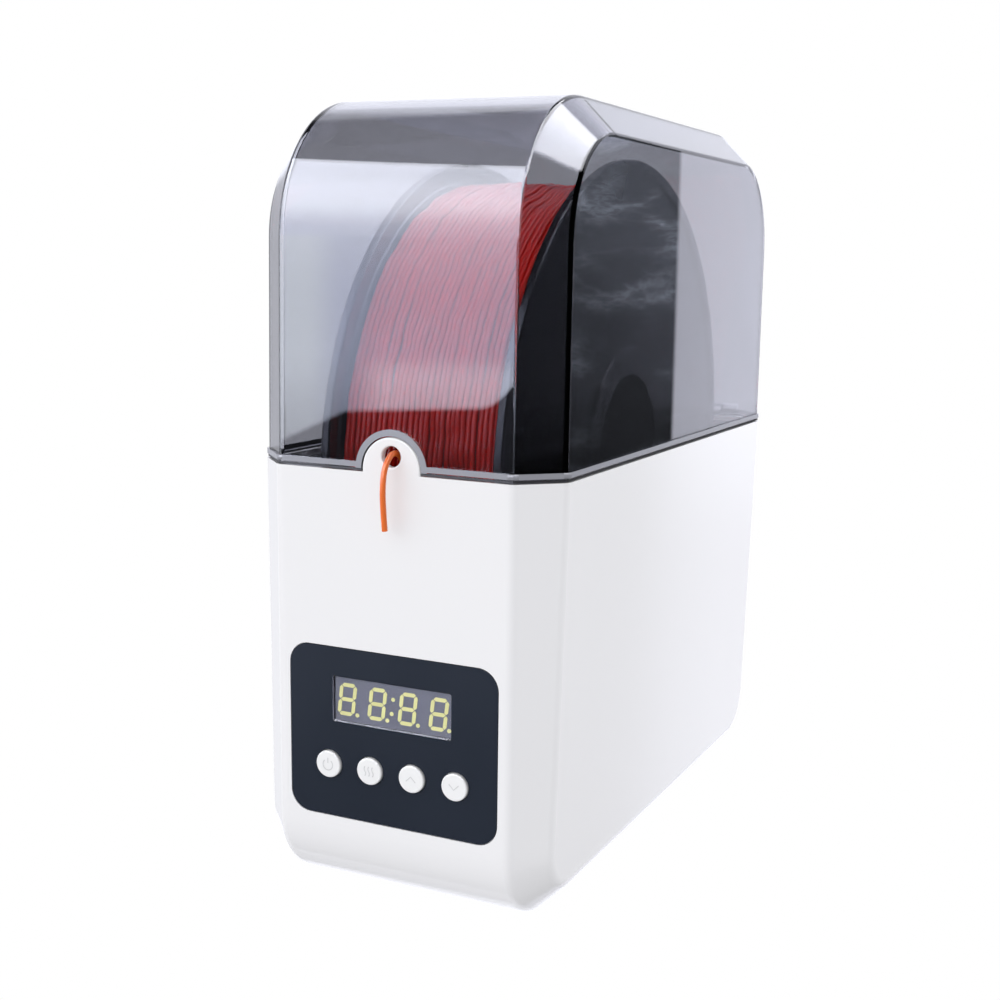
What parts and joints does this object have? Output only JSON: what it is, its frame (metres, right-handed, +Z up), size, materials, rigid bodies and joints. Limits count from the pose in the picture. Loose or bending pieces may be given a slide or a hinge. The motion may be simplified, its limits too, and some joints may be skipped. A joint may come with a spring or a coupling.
{
  "type": "filament dryer box",
  "caption": "Slim upright dryer box with a clear smoked lid hinged over a filament spool on rollers, a white base with a control panel and an arched filament outlet.",
  "frame": {"origin": "on the surface that the feet stand on, under the middle of the whole, hinges included", "axes": "+Z up, -Y towards the front with the control panel and the filament outlet, +X to the right of someone who looks at the front"},
  "size_m": [0.102, 0.2374, 0.2475],
  "materials": {
    "base_white": "glossy moulded",
    "lid_smoke": "polished clear",
    "seal_black": "matte",
    "foot_rubber": "matte",
    "tray_black": "satin",
    "cover_white": "satin",
    "screw_steel": "zinc plated",
    "axle_steel": "ground",
    "bush_bronze": "satin",
    "roller_white": "satin",
    "bracket_black": "satin",
    "heater_aluminium": "brushed",
    "mat_silicone": "matte",
    "fuse_ceramic": "matte",
    "sensor_white": "matte",
    "panel_black": "fine matte",
    "window_tint": "polished",
    "display_grey": "matte",
    "digit_yellow": "satin",
    "button_white": "satin",
    "board_green": "solder mask",
    "chip_black": "matte",
    "inlet_black": "satin",
    "spool_black": "semi gloss",
    "filament_red": "semi gloss",
    "filament_orange": "semi gloss",
    "lead_black": "matte"
  },
  "bodies": {
    "base": {"base_shell": "base_white", "bottom_cover": "cover_white", "cover_screws": "screw_steel", "rubber_feet": "foot_rubber", "chamber_tray": "tray_black", "tray_screws": "screw_steel", "heater_plate": "heater_aluminium", "heating_mat": "mat_silicone", "thermal_fuse": "fuse_ceramic", "humidity_sensor": "sensor_white", "roller_bracket_left": "bracket_black", "roller_bracket_right": "bracket_black", "bracket_screws": "screw_steel", "axle_bushes": "bush_bronze", "control_panel": "panel_black", "display_window": "window_tint", "led_display": "display_grey", "display_digits": "digit_yellow", "control_board": "board_green", "tact_switches": "chip_black", "board_parts": "chip_black", "board_screws": "screw_steel", "power_inlet": "inlet_black", "inlet_nut": "screw_steel", "hinge_pin_left": "axle_steel", "hinge_pin_right": "axle_steel", "filament_strand": "filament_orange", "power_lead": "lead_black"},
    "lid": {"lid_shell": "lid_smoke", "lid_seal": "seal_black"},
    "spool": {"spool_flange_left": "spool_black", "spool_flange_right": "spool_black", "spool_core": "spool_black", "filament_winding": "filament_red"},
    "front_roller_pair": {"front_axle": "axle_steel", "front_rollers": "roller_white"},
    "rear_roller_pair": {"rear_axle": "axle_steel", "rear_rollers": "roller_white"},
    "power_button": {"button_power": "button_white"},
    "heat_button": {"button_heat": "button_white"},
    "up_button": {"button_up": "button_white"},
    "down_button": {"button_down": "button_white"}
  },
  "joints": [
    {"name": "lid_hinge", "type": "hinge", "parent": "base", "child": "lid", "pos_m": [0, 0.1113, 0.13835], "axis": [-1, 0, 0], "range_deg": [0, 100]},
    {"name": "spool_spin", "type": "hinge", "parent": "base", "child": "spool", "pos_m": [0, -0.0043, 0.1336], "axis": [1, 0, 0], "continuous": true},
    {"name": "front_roller_spin", "type": "hinge", "parent": "base", "child": "front_roller_pair", "pos_m": [0, -0.07098, 0.04826], "axis": [1, 0, 0], "continuous": true},
    {"name": "rear_roller_spin", "type": "hinge", "parent": "base", "child": "rear_roller_pair", "pos_m": [0, 0.06238, 0.04826], "axis": [1, 0, 0], "continuous": true},
    {"name": "power_press", "type": "slide", "parent": "base", "child": "power_button", "axis": [0, 0.9998, 0.0175], "range_m": [0, 0.0005], "stiffness_N_per_m": 400, "springref_m": -0.0006},
    {"name": "heat_press", "type": "slide", "parent": "base", "child": "heat_button", "axis": [0, 0.9998, 0.0175], "range_m": [0, 0.0005], "stiffness_N_per_m": 400, "springref_m": -0.0006},
    {"name": "up_press", "type": "slide", "parent": "base", "child": "up_button", "axis": [0, 0.9998, 0.0175], "range_m": [0, 0.0005], "stiffness_N_per_m": 400, "springref_m": -0.0006},
    {"name": "down_press", "type": "slide", "parent": "base", "child": "down_button", "axis": [0, 0.9998, 0.0175], "range_m": [0, 0.0005], "stiffness_N_per_m": 400, "springref_m": -0.0006}
  ],
  "couplings": [
    {"joint": "front_roller_spin", "follows": "spool_spin", "ratio": -12.5},
    {"joint": "rear_roller_spin", "follows": "spool_spin", "ratio": -12.5}
  ]
}
